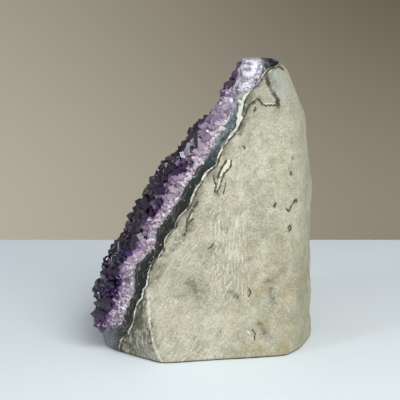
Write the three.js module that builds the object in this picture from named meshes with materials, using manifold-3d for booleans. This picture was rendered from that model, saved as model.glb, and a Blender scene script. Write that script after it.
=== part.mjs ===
// Amethyst geode, sawn from a larger cavity and stood on a ground base.
//
// Units are millimetres, +Z is up. The crystal face looks along -Y and leans back, the
// rounded back of the rock looks along +Y, and the two ground sides look along +X and -X.
// The origin is the middle of the object's box, on the base plane.
//
// Three minerals grew one on another, and each is a solid of its own: the basalt that held
// the cavity, the agate that lined it, and the quartz with its amethyst crystals.
import * as THREE from 'three';
import { mergeVertices } from 'three/addons/utils/BufferGeometryUtils.js';
import Module from 'manifold-3d';

const wasm = await Module();
wasm.setup();

// ---------------------------------------------------------------- driving dimensions
const HEIGHT = 160;              // base plane to the top of the rock
const LAYER_GAP = 0.3;           // clearance between one mineral and the next
const RING_POINTS = 36;          // corners of each horizontal ring of the rock
const RING_STEP = 10;            // height between rings
const RIDGE_CRISPNESS = 24;      // higher makes the edges between ground faces sharper

// Profiles are [height, distance] pairs. A face's distance is from the vertical axis through
// the origin, and its direction is the way it looks, in degrees from +X towards +Y.
const FACES = [
  { name: 'near side', direction: 8, profile: [[0, 45.2], [155, 25], [160, 20]] },
  { name: 'near back', direction: 50, profile: [[0, 61], [95, 58], [130, 52], [155, 43], [160, 38]] },
  { name: 'back right', direction: 71, profile: [[0, 62], [95, 61.5], [130, 57], [154, 48], [160, 42]] },
  { name: 'back', direction: 90, profile: [[0, 68], [97, 66], [130, 60.5], [154, 49.5], [160, 42]] },
  { name: 'back left', direction: 113, profile: [[0, 60], [95, 56], [130, 51], [154, 42], [160, 37]] },
  { name: 'far back', direction: 139, profile: [[0, 56], [95, 49], [130, 40], [154, 31], [160, 26]] },
  { name: 'far side', direction: 174, profile: [[0, 46], [70, 33], [155, 13], [160, 8]] },
  { name: 'far foot', direction: 222, profile: [[0, 51], [22, 54], [60, 58], [160, 70]] },
  { name: 'near foot', direction: -40,
    profile: [[0, 51.5], [10, 54], [22, 54.5], [43, 53], [60, 58], [160, 70]] },
  { name: 'near toe', direction: -66, profile: [[0, 56], [10, 58], [20, 60], [45, 61], [160, 61]] },
  { name: 'far toe', direction: -114, profile: [[0, 56], [10, 58], [20, 60], [45, 61], [160, 61]] },
];
const NEAR_SIDE = 0;
const BACK = 3;

// How far back (in Y) each layer starts, at heights up the leaning face.
const BED_FRONT = [[0, -55], [6, -57], [14, -57.5], [24, -56], [39, -51.5], [56, -41.5], [68, -34.5],
  [80, -27.5], [94, -21], [112, -5], [124, 6], [140, 16.5], [160, 24]];
const AGATE_FRONT = [[0, -74], [8, -68], [14, -50], [24, -43], [44, -38], [58, -32], [79, -20], [97, -7],
  [114, 5], [129, 14], [142, 23], [150, 32], [160, 34]];
const BASALT_FRONT = [[0, -44], [16, -41], [34, -35.5], [45, -30.5], [64, -19.5], [83, -7.5], [103, 3.5],
  [118, 15], [132, 22.5], [143, 26], [150, 34.5], [156, 38], [160, 46]];

// Each sheet between two layers is wavy. A phase sets where its waves fall.
const BASALT_SHEET = { profile: BASALT_FRONT, phase: 0.4 };
const AGATE_SHEET = { profile: AGATE_FRONT, phase: 1.9 };
const SHEET_COLUMNS = 8;
const SHEET_ROWS = 20;
const SHEET_SPAN = { halfWidth: 70, bottom: -8, top: HEIGHT + 12, front: -120 };

// Crystals: six-sided, pointed, standing on the quartz bed.
const CRYSTAL_PITCH = 8.6;       // spacing of crystal roots along a row
const ROW_PITCH = 6.9;           // spacing of the rows in height
const ROOT_SCATTER = 3;          // how far a root may stray, end to end
const CRYSTAL_RADIUS = [3.0, 5.2];
const CRYSTAL_REACH = [3.5, 7];  // tip above the bed
const CRYSTAL_ROOT = 2.5;        // root below the bed's surface
const CRYSTAL_TILT = 24;         // degrees either way from square to the bed
const CRYSTAL_TAPER = 0.8;       // root radius against shoulder radius
const POINT_STEEPNESS = 1.15;    // height of a point against its radius
const LEAST_SHOULDER = 1;        // a crystal's shoulder is at least this far above its root
const CRYSTAL_LOWEST = 18;       // height of the lowest row
const CRYSTAL_HIGHEST = 153;
const CRYSTAL_SIDE_MARGIN = 1.5;
const CROWN = { above: 120, share: 0.7 };    // crystals near the top reach less far
const FOOT = { below: 60, narrowing: 0.32 }; // the crop narrows towards its foot, mm for each mm
const CROP_TRIM = 14;            // nothing stands further than this in front of the bed
const SEED = 7;

// ---------------------------------------------------------------- small helpers
const radians = THREE.MathUtils.degToRad;
const { lerp } = THREE.MathUtils;

function randomSource(seed) {
  let state = seed;
  return () => {
    state = (state + 0x6d2b79f5) | 0;
    let t = Math.imul(state ^ (state >>> 15), 1 | state);
    t = (t + Math.imul(t ^ (t >>> 7), 61 | t)) ^ t;
    return ((t ^ (t >>> 14)) >>> 0) / 4294967296;
  };
}

/** Value of a [height, value] profile at a height, on straight lines between its points. */
function along(profile, height) {
  let i = 1;
  while (i < profile.length - 1 && profile[i][0] < height) i += 1;
  const [h0, v0] = profile[i - 1];
  const [h1, v1] = profile[i];
  return lerp(v0, v1, THREE.MathUtils.clamp((height - h0) / (h1 - h0), 0, 1));
}

/** Gentle swells over the leaning face, in mm, that lift some crystals above others. */
function lumps(x, z) {
  const across = Math.sin(0.13 * x + 0.045 * z + 0.6) * Math.cos(0.085 * z - 0.05 * x);
  const fine = Math.sin(0.27 * x - 0.19 * z + 2.1);
  return 1.6 * across + 0.7 * fine;
}

/** Waves in the sheet between two layers, in mm. */
function waves(x, z, phase) {
  return 0.9 * Math.sin(0.21 * z + 0.11 * x + phase) + 0.6 * Math.sin(0.34 * x + 1.7 * phase - 0.09 * z);
}

function solidOf(geometry) {
  geometry.deleteAttribute('normal');
  geometry.deleteAttribute('uv');
  const merged = mergeVertices(geometry, 1e-4);
  return new wasm.Manifold(new wasm.Mesh({
    numProp: 3,
    vertProperties: new Float32Array(merged.attributes.position.array),
    triVerts: new Uint32Array(merged.index.array),
  }));
}

function geometryOf(solid) {
  const mesh = solid.getMesh();
  const geometry = new THREE.BufferGeometry();
  geometry.setAttribute('position', new THREE.BufferAttribute(mesh.vertProperties.slice(), 3));
  geometry.setIndex(new THREE.BufferAttribute(mesh.triVerts.slice(), 1));
  geometry.computeVertexNormals();
  return geometry;
}

/** Closed solid from a stack of rings, each a list of corners, all with the same count. */
function loft(rings) {
  const count = rings[0].length;
  const positions = rings.flat().flatMap((p) => [p.x, p.y, p.z]);
  const index = [];
  for (let level = 0; level < rings.length - 1; level += 1) {
    for (let i = 0; i < count; i += 1) {
      const a = level * count + i;
      const b = level * count + ((i + 1) % count);
      index.push(a, b, b + count, a, b + count, a + count);
    }
  }
  for (const [level, turned] of [[0, true], [rings.length - 1, false]]) {
    const centre = new THREE.Vector3();
    rings[level].forEach((p) => centre.addScaledVector(p, 1 / count));
    const hub = positions.length / 3;
    positions.push(centre.x, centre.y, centre.z);
    for (let i = 0; i < count; i += 1) {
      const a = level * count + i;
      const b = level * count + ((i + 1) % count);
      index.push(hub, turned ? b : a, turned ? a : b);
    }
  }
  const geometry = new THREE.BufferGeometry();
  geometry.setAttribute('position', new THREE.Float32BufferAttribute(positions, 3));
  geometry.setIndex(index);
  return solidOf(geometry);
}

// ---------------------------------------------------------------- the rock's outside
/** Corners of the rock's outline at one height. frontOffset moves the leaning face forward. */
function outline(height, frontOffset) {
  const front = along(BED_FRONT, height) - frontOffset;
  const back = along(FACES[BACK].profile, height);
  const middle = new THREE.Vector2(0, (along(BED_FRONT, height) + back) / 2);
  const faces = FACES.map((face) => {
    const angle = radians(face.direction);
    const normal = new THREE.Vector2(Math.cos(angle), Math.sin(angle));
    const isToe = face.name.endsWith('toe');
    const extra = isToe ? frontOffset : 0;
    return { normal, reach: along(face.profile, height) + extra - normal.dot(middle) };
  });
  faces.push({ normal: new THREE.Vector2(0, -1), reach: middle.y - front });
  const ring = [];
  for (let i = 0; i < RING_POINTS; i += 1) {
    const angle = (2 * Math.PI * i) / RING_POINTS;
    const way = new THREE.Vector2(Math.cos(angle), Math.sin(angle));
    let sum = 0;
    for (const { normal, reach } of faces) {
      sum += Math.max(0, normal.dot(way) / reach) ** RIDGE_CRISPNESS;
    }
    const radius = sum ** (-1 / RIDGE_CRISPNESS);
    ring.push(new THREE.Vector3(middle.x + way.x * radius, middle.y + way.y * radius, height));
  }
  return ring;
}

function rock(frontOffset) {
  const rings = [];
  for (let height = 0; height <= HEIGHT; height += RING_STEP) {
    rings.push(outline(height, frontOffset));
  }
  return loft(rings);
}

// ---------------------------------------------------------------- the layers
/** Everything in front of a wavy sheet, as a block wider and taller than the rock. */
function inFrontOf({ profile, phase }, offset) {
  const { halfWidth, bottom, top, front } = SHEET_SPAN;
  const rings = [];
  for (let row = 0; row <= SHEET_ROWS; row += 1) {
    const z = lerp(bottom, top, row / SHEET_ROWS);
    const ring = [];
    for (let column = 0; column <= SHEET_COLUMNS; column += 1) {
      const x = lerp(halfWidth, -halfWidth, column / SHEET_COLUMNS);
      ring.push(new THREE.Vector3(x, along(profile, z) + waves(x, z, phase) + offset, z));
    }
    ring.push(new THREE.Vector3(-halfWidth, front, z), new THREE.Vector3(halfWidth, front, z));
    rings.push(ring);
  }
  return loft(rings);
}

/** One crystal, root at the origin, point along +Z. */
function crystal(radius, length, shoulder) {
  const profile = [
    new THREE.Vector2(0, 0),
    new THREE.Vector2(radius * CRYSTAL_TAPER, 0),
    new THREE.Vector2(radius, shoulder),
    new THREE.Vector2(0, length),
  ];
  const geometry = new THREE.LatheGeometry(profile, 6);
  geometry.rotateX(Math.PI / 2);
  return geometry;
}

function crystalCrop() {
  const random = randomSource(SEED);
  const between = ([low, high], share = random()) => lerp(low, high, share);
  const astray = () => (random() - 0.5) * ROOT_SCATTER;
  const crop = [];
  let odd = false;
  for (let z = CRYSTAL_LOWEST; z <= CRYSTAL_HIGHEST; z += ROW_PITCH) {
    const narrowing = Math.max(0, FOOT.below - z) * FOOT.narrowing;
    const reachX = along(FACES[NEAR_SIDE].profile, z) - CRYSTAL_SIDE_MARGIN - narrowing;
    for (let x = -reachX + (odd ? CRYSTAL_PITCH / 2 : 0); x <= reachX; x += CRYSTAL_PITCH) {
      crop.push(placedCrystal(x + astray(), z + astray(), random, between));
    }
    odd = !odd;
  }
  return crop;
}

function placedCrystal(x, z, random, between) {
  const step = 4;
  const rise = along(BED_FRONT, z + step) - along(BED_FRONT, z - step);
  const out = new THREE.Vector3(0, -2 * step, rise).normalize();
  const radius = between(CRYSTAL_RADIUS);
  const reach = between(CRYSTAL_REACH) * (z > CROWN.above ? CROWN.share : 1) + lumps(x, z);
  const length = CRYSTAL_ROOT + reach;
  const geometry = crystal(radius, length, Math.max(LEAST_SHOULDER, length - radius * POINT_STEEPNESS));
  const tilt = () => radians((random() - 0.5) * 2 * CRYSTAL_TILT);
  const turn = new THREE.Quaternion().setFromUnitVectors(new THREE.Vector3(0, 0, 1), out);
  turn.multiply(new THREE.Quaternion().setFromEuler(new THREE.Euler(tilt(), tilt(), random() * Math.PI)));
  geometry.applyQuaternion(turn);
  const root = new THREE.Vector3(x, along(BED_FRONT, z), z).addScaledVector(out, -CRYSTAL_ROOT);
  geometry.translate(root.x, root.y, root.z);
  return solidOf(geometry);
}

/** The largest of a solid's separate bodies: chips cut loose at the edges fall away. */
function withoutChips(solid) {
  return solid.decompose().reduce((best, body) => (body.volume() > best.volume() ? body : best));
}

const wholeRock = rock(0);
const basaltSolid = wholeRock.subtract(inFrontOf(BASALT_SHEET, 0));
const agateBlock = wholeRock.intersect(inFrontOf(BASALT_SHEET, -LAYER_GAP));
const agateSolid = agateBlock.subtract(inFrontOf(AGATE_SHEET, 0));

const quartzSpace = inFrontOf(AGATE_SHEET, -LAYER_GAP);
const quartzBed = wholeRock.intersect(quartzSpace);
const grown = crystalCrop().reduce((sum, one) => sum.add(one), quartzBed);
const druseSolid = withoutChips(grown.intersect(rock(CROP_TRIM)).intersect(quartzSpace));

// ---------------------------------------------------------------- the scene graph
function piece(name, solid, color, roughness) {
  const material = new THREE.MeshStandardMaterial({ color, roughness, metalness: 0 });
  const mesh = new THREE.Mesh(geometryOf(solid), material);
  mesh.name = name;
  return mesh;
}

const geode = new THREE.Group();
geode.add(
  piece('basalt_matrix', basaltSolid, 0xc8c6b1, 0.9),
  piece('agate_band', agateSolid, 0x4e5250, 0.4),
  piece('amethyst_druse', druseSolid, 0x6a4a86, 0.15),
);

export default geode;
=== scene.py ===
"""An amethyst geode on a ground base: basalt, agate rim, quartz bed and a crop of crystals."""

import itertools
import math
import random

import bmesh
import bpy
import numpy as np
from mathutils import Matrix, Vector


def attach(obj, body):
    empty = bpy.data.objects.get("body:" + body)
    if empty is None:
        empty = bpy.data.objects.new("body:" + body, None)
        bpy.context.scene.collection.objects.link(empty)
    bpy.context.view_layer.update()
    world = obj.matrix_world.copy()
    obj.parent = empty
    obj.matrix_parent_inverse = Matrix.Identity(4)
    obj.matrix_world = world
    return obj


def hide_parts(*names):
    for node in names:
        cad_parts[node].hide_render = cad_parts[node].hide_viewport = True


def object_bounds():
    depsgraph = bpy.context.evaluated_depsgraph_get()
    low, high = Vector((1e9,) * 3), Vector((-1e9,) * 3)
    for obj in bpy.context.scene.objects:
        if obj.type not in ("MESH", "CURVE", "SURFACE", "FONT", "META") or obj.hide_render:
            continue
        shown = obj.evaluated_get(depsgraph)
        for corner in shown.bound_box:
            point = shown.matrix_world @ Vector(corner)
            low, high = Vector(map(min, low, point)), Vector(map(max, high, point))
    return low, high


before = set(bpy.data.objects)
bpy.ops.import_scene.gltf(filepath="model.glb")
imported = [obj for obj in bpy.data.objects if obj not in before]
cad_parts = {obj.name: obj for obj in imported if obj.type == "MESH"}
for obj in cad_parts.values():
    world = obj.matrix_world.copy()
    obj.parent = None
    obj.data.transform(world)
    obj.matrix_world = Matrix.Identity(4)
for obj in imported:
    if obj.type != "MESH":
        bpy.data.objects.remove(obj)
CAD_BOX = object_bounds()

# ---------------------------------------------------------------- sizes, in millimetres
MM = 0.001
HEIGHT = round((CAD_BOX[1].z - CAD_BOX[0].z) / MM)
BODY = "root"
FACE_LEAN = math.radians(31)      # the crystal face leans back this far from upright
EDGE_CRISPNESS = 40               # higher makes the edges between ground faces sharper
RING_POINTS = 400
RING_STEP = 0.9

# The rock's outside: the way each face looks, in degrees from +X towards +Y, and its
# distance from the upright axis at each height, as in the construction model.
FACES = {
    "near side": (8, [(0, 45.2), (155, 25), (160, 20)]),
    "near back": (50, [(0, 61), (95, 58), (130, 52), (155, 43), (160, 38)]),
    "back right": (71, [(0, 62), (95, 61.5), (130, 57), (154, 48), (160, 42)]),
    "back": (90, [(0, 68), (97, 66), (130, 60.5), (154, 49.5), (160, 42)]),
    "back left": (113, [(0, 60), (95, 56), (130, 51), (154, 42), (160, 37)]),
    "far back": (139, [(0, 56), (95, 49), (130, 40), (154, 31), (160, 26)]),
    "far side": (174, [(0, 46), (70, 33), (155, 13), (160, 8)]),
    "far foot": (222, [(0, 51), (22, 54), (60, 58), (160, 70)]),
    "near foot": (-40, [(0, 51.5), (10, 54), (22, 54.5), (43, 53), (60, 58), (160, 70)]),
    "near toe": (-66, [(0, 56), (10, 58), (20, 60), (45, 61), (160, 61)]),
    "far toe": (-114, [(0, 56), (10, 58), (20, 60), (45, 61), (160, 61)]),
}

# How far back, in Y, each layer starts at each height up the leaning face.
BED_FRONT = [(0, -55), (6, -57), (14, -57.5), (24, -56), (39, -51.5), (56, -41.5), (68, -34.5),
             (80, -27.5), (94, -21), (112, -5), (124, 6), (140, 16.5), (160, 24)]
AGATE_FRONT = [(0, -74), (7, -64), (11, -54), (15, -47), (19, -43.5), (24, -42.5), (28, -40.8),
               (32, -39.6), (37, -37.2), (42, -36.5), (46, -37), (50, -36.9), (53.5, -35.7),
               (56, -32.8), (59.5, -29.2), (62, -27), (65, -25.2), (70, -25.3), (73, -24.5),
               (75.5, -21.6), (81, -17.5), (84, -15.5), (86, -13.4), (91, -10.6), (97, -7.7),
               (104, -2.7), (109, 1.7), (114, 5.5), (120, 8.3), (125, 11), (128.5, 14.4),
               (134, 16.6), (137.5, 17.2), (140, 18.8), (143, 21), (145.5, 26.6), (148, 29.9),
               (153.5, 31.6), (156, 32.7), (162, 33.5)]
BASALT_FRONT = [(0, -45.8), (5, -44.6), (8, -44.2), (10.5, -42.8), (13, -39.8), (17, -38.6),
                (22.5, -36.7), (30, -35.4), (33, -33.9), (35, -32), (40, -31.2), (43, -29.1),
                (49, -28.8), (53.5, -27), (56.5, -25.3), (57.5, -22.9), (62.5, -20), (68, -19.4),
                (70.5, -17.1), (72.5, -14.4), (75.5, -13.5), (78.5, -11.8), (84, -6.5), (88.5, -4.5),
                (94, -2.2), (99, 1.6), (102, 3.8), (104.5, 6.9), (106, 8.8), (108.5, 8.8),
                (113, 11), (115.5, 12.1), (119, 14.8), (123.5, 19.3), (127, 21), (130, 22.7),
                (131.5, 21.7), (135, 22.2), (139, 23.3), (142.5, 25.2), (146, 28.4), (149, 31.6),
                (152, 33.6), (154, 34.9), (156, 37), (157, 42), (160, 47)]
VEIN_WIDTH = [(0, 0.5), (12, 0.7), (22, 0.5), (33, 0.7), (50, 0.5), (68, 0.45), (82, 0.5),
              (97, 1.3), (104, 1.1), (108, 0.6), (118, 1.0), (124, 1.9), (138, 2.4), (143, 1.2),
              (146, 0.4), (160, 0.6)]
THINNEST_VEIN = 0.3
DRAWN_WITHIN = 12                 # the drawn paths fade out over this distance each side of X = 0
BASALT_BEHIND = 35                # on the far side basalt covers everything behind this Y
BED_FALL = 3.0                    # the bed's open face falls back by this much at its two sides,
BED_SIDE_IN = 2                   # which lie this far inside the ground sides

CROP_BOTTOM, CROP_TOP = 12, 158   # lowest and highest crystal on the leaning face


# ---------------------------------------------------------------- shapes as formulas
def along(profile, heights):
    """Value of a (height, value) profile at each height."""
    steps, values = zip(*profile)
    return np.interp(heights, steps, values)


def ease(value, low, high):
    """0 below low, 1 above high and a smooth step between."""
    share = np.clip((value - low) / (high - low), 0, 1)
    return share * share * (3 - 2 * share)


def ripple(a, b, length, seed):
    """Random smooth waves over a plane, about one high, with crests about length apart."""
    dice = random.Random(seed)
    total = 0
    for _ in range(9):
        way = dice.uniform(0, math.tau)
        pitch = 2 * math.pi / (length * dice.uniform(0.7, 1.7))
        phase = dice.uniform(0, math.tau)
        total = total + np.sin(pitch * (a * math.cos(way) + b * math.sin(way)) + phase)
    return total / 3


def drawn_and_free(x, drawn, free):
    """The drawn path on the near side, going over to the free one on the far side."""
    return free + (drawn - free) * ease(x, -DRAWN_WITHIN, DRAWN_WITHIN)


def basalt_front(x, z):
    """How far back the basalt starts. Its far side is a smoothed copy of the drawn path."""
    drawn = along(BASALT_FRONT, z) + 0.3 * ripple(x, z, 3, seed=11)
    steps = np.arange(-40, 200.0)
    window = 15
    free = np.convolve(along(BASALT_FRONT, steps), np.ones(window) / window, "same")
    free = np.interp(z, steps, free) + 1.5 * ripple(x, z, 13, seed=12)
    return drawn_and_free(x, drawn, np.minimum(free, BASALT_BEHIND))


def agate_front(x, z):
    """How far back the agate starts."""
    drawn = along(AGATE_FRONT, z) + 0.3 * ripple(x, z, 5, seed=21)
    free = along(AGATE_FRONT, z) + 0.8 * ripple(x, z, 14, seed=22)
    return drawn_and_free(x, drawn, free)


def vein_front(x, z):
    """How far back the cream vein starts, in front of the basalt."""
    width = along(VEIN_WIDTH, z) * (1 + 0.35 * ripple(x, z, 7, seed=31))
    return basalt_front(x, z) - np.maximum(width, THINNEST_VEIN) / math.cos(FACE_LEAN)


def bed_front(x, z):
    """The quartz bed's open face."""
    ground = np.where(x > 0, along(FACES["near side"][1], z), along(FACES["far side"][1], z))
    fall = BED_FALL * np.clip(np.abs(x) / (ground - BED_SIDE_IN), 0, 1.2) ** 5
    waves = 1.7 * ripple(x, z, 17, seed=41) + 0.7 * ripple(x, z, 8, seed=42)
    return along(BED_FRONT, z) + waves + fall


def rock_ring(heights, turns, front_offset):
    """The rock's outline at some heights and turns about its middle.

    Gives the radius, the middle's Y, and how near each point is to an edge between two
    ground faces: 1 on the edge, falling to 0 away from it.
    """
    front = along(BED_FRONT, heights)
    middle = (front + along(FACES["back"][1], heights)) / 2
    pulls = []
    for name, (looks, profile) in FACES.items():
        looks = math.radians(looks)
        reach = along(profile, heights) - middle * math.sin(looks)
        if name.endswith("toe"):
            reach = reach + front_offset
        pulls.append(np.maximum(0, np.cos(turns - looks) / reach))
    pulls.append(np.maximum(0, -np.sin(turns) / (middle - front + front_offset)))
    pulls = np.sort(np.stack(pulls), axis=0)
    radius = np.sum(pulls ** EDGE_CRISPNESS, axis=0) ** (-1 / EDGE_CRISPNESS)
    edge = (pulls[-2] / pulls[-1]) ** EDGE_CRISPNESS
    return radius, middle, edge


PIT_STEEPNESS = 1.4
# Small hollows in the near side: (y, z, width along y, width along z, depth).
PITS = [(40, 82, 1.6, 2.6, 1.3), (48, 69.6, 1.5, 2.4, 1.2), (51.5, 84, 1.3, 3.2, 1.2),
        (48, 79, 1.2, 2.2, 1.0), (48, 100, 1.0, 1.8, 0.9), (49.5, 108, 1.0, 1.6, 0.7),
        (26, 139.5, 2.4, 1.5, 1.1), (30.5, 139.8, 1.4, 1.2, 0.9), (23, 114.6, 1.0, 1.0, 0.7),
        (25.7, 36, 1.0, 2.0, 0.8), (4, 60.5, 1.8, 1.2, 0.7), (-9.5, 66, 2.2, 1.3, 0.6),
        (28, 130.5, 0.9, 0.9, 0.7), (38, 15.5, 1.2, 1.2, 0.5), (33, 45, 0.9, 0.9, 0.5)]
BASE_WEAR, TOP_WEAR = 0.9, 2.2    # how far the edges of the base and the top are worn in
NATURAL_FROM = math.radians(35)   # the rough natural back is centred a quarter turn on from here


def rock_skin(name, front_offset=0.0):
    """The rock's whole outside as a closed mesh, worn and pitted.

    The front offset moves its front forwards, to leave room for the quartz bed.
    """
    # The rings are closest together at the worn edges of the base and the top.
    levels = np.concatenate(([0, 0.35], np.arange(RING_STEP, HEIGHT - 1, RING_STEP),
                             [HEIGHT - 1, HEIGHT - 0.3, HEIGHT]))
    turns = np.linspace(-math.pi / 2, 3 * math.pi / 2, RING_POINTS, endpoint=False)
    heights, angles = np.meshgrid(levels, turns, indexing="ij")
    radius, middle, edge = rock_ring(heights, angles, front_offset)
    near = np.cos(angles - math.radians(FACES["near side"][0])) > 0.3
    natural = ease(np.sin(angles - NATURAL_FROM), 0.55, 0.95)
    round_back = (angles - math.pi / 2) * radius.mean(axis=1, keepdims=True)
    radius += (0.16 + 0.8 * natural) * ripple(round_back, heights, 21, seed=51)
    radius += (0.05 + 0.22 * natural) * ripple(round_back, heights, 6, seed=52)
    y = middle + radius * np.sin(angles)
    for pit_y, pit_z, wide, tall, deep in PITS:
        hole = ((y - pit_y) / wide) ** 2 + ((heights - pit_z) / tall) ** 2
        radius -= np.where(near, deep * np.exp(-hole * PIT_STEEPNESS), 0)
    worn = BASE_WEAR * (1 - ease(levels, 0, 1.0)) + TOP_WEAR * ease(levels, HEIGHT - 1.6, HEIGHT)
    radius -= worn[:, None]
    x = radius * np.cos(angles)
    y = middle + radius * np.sin(angles)
    skin = loft(name, np.stack([x, y, heights], axis=-1))
    note(skin, "edge", np.append(edge.ravel(), [0, 0]))
    return skin


def loft(name, rings):
    """A closed mesh from a stack of rings of corners, an array of levels x corners x 3, in mm."""
    levels, count, _ = rings.shape
    grid = np.arange(levels * count).reshape(levels, count)
    a, b = grid[:-1], np.roll(grid, -1, axis=1)[:-1]
    c, d = np.roll(grid, -1, axis=1)[1:], grid[1:]
    sides = np.stack([a, b, c, d], axis=-1).reshape(-1, 4).tolist()
    corners = np.concatenate([rings.reshape(-1, 3), rings[0].mean(0)[None], rings[-1].mean(0)[None]])
    low, high = levels * count, levels * count + 1
    for i in range(count):
        j = (i + 1) % count
        sides.append([low, int(grid[0, j]), int(grid[0, i])])
        sides.append([high, int(grid[-1, i]), int(grid[-1, j])])
    return mesh_object(name, corners, sides)


def mesh_object(name, corners_mm, faces):
    """A mesh in the scene, from corners in mm."""
    mesh = bpy.data.meshes.new(name)
    mesh.from_pydata((np.asarray(corners_mm) * MM).tolist(), [], faces)
    mesh.update()
    piece = bpy.data.objects.new(name, mesh)
    bpy.context.scene.collection.objects.link(piece)
    return piece


BLOCK_SIDE = 72                   # the cutting blocks reach this far each side of X = 0,
BLOCK_FRONT = -130.0              # this far forwards,
BLOCK_UNDER, BLOCK_OVER = 10, 12  # and this far under the base and over the top


def front_block(name, surface, step_x=3.0, step_z=0.5):
    """Everything in front of a surface y = surface(x, z), as one block."""
    across = np.arange(BLOCK_SIDE, -BLOCK_SIDE - 0.1, -step_x)
    levels = np.arange(-BLOCK_UNDER, HEIGHT + BLOCK_OVER + 0.1, step_z)
    heights, places = np.meshgrid(levels, across, indexing="ij")
    sheet = np.stack([places, surface(places, heights), heights], axis=-1)
    ends = [np.stack([np.full_like(levels, x), np.full_like(levels, BLOCK_FRONT), levels], axis=-1)
            for x in (across[-1], across[0])]
    return loft(name, np.concatenate([sheet, ends[0][:, None], ends[1][:, None]], axis=1))


# ---------------------------------------------------------------- mesh handling
def baked(piece, name):
    """The piece with its modifiers made plain mesh, as a new object; the old one goes."""
    graph = bpy.context.evaluated_depsgraph_get()
    mesh = bpy.data.meshes.new_from_object(piece.evaluated_get(graph), depsgraph=graph)
    mesh.name = name
    result = bpy.data.objects.new(name, mesh)
    bpy.context.scene.collection.objects.link(result)
    discard(piece)
    result.name = name
    return result


def discard(*pieces):
    """Takes pieces that were only tools out of the scene."""
    for piece in pieces:
        bpy.data.objects.remove(piece)


def copy_of(piece, name):
    """A second piece with a mesh of its own."""
    twin = bpy.data.objects.new(name, piece.data.copy())
    bpy.context.scene.collection.objects.link(twin)
    return twin


def carve(piece, tool, operation, name):
    """Cuts the piece with the tool, or joins them, and gives the result back as plain mesh."""
    cut = piece.modifiers.new("carve", "BOOLEAN")
    cut.solver = "MANIFOLD"
    cut.operation = operation
    cut.object = tool
    return baked(piece, name)


def corner_array(mesh):
    """A mesh's corners, in mm."""
    flat = np.empty(len(mesh.vertices) * 3)
    mesh.vertices.foreach_get("co", flat)
    return flat.reshape(-1, 3) / MM


def note(piece, name, values):
    """Stores one number for each corner of the mesh, for its finish to read."""
    field = piece.data.attributes.get(name) or piece.data.attributes.new(name, "FLOAT", "POINT")
    field.data.foreach_set("value", np.asarray(values, dtype=np.float32))


def note_layers(piece):
    """Stores how far in front of the basalt and of the agate every corner lies, in mm."""
    x, y, z = corner_array(piece.data).T
    square = math.cos(FACE_LEAN)
    note(piece, "from_basalt", (basalt_front(x, z) - y) * square)
    note(piece, "from_agate", (agate_front(x, z) - y) * square)


# ---------------------------------------------------------------- finishes
class Wire:
    """One socket of a finish's nodes. Arithmetic on it adds the nodes that work it out."""

    def __init__(self, finish, socket):
        self.finish = finish
        self.socket = socket

    def also(self, name):
        """Another output of the same node."""
        return Wire(self.finish, self.socket.node.outputs[name])

    def maths(self, operation, *values):
        return self.finish.add("ShaderNodeMath", {"operation": operation}, dict(enumerate(values)))

    def __add__(self, other):
        return self.maths("ADD", self, other)

    __radd__ = __add__

    def __sub__(self, other):
        return self.maths("SUBTRACT", self, other)

    def __rsub__(self, other):
        return self.maths("SUBTRACT", other, self)

    def __mul__(self, other):
        return self.maths("MULTIPLY", self, other)

    __rmul__ = __mul__

    def lowest(self, other):
        return self.maths("MINIMUM", self, other)

    def highest(self, other):
        return self.maths("MAXIMUM", self, other)

    def sine(self):
        return self.maths("SINE", self)

    def rise(self, low, high):
        """0 at low, 1 at high (or the other way round) with a smooth step between."""
        settings = {"interpolation_type": "SMOOTHSTEP", "clamp": True}
        sockets = {"Value": self, "From Min": low, "From Max": high}
        return self.finish.add("ShaderNodeMapRange", settings, sockets)


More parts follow.
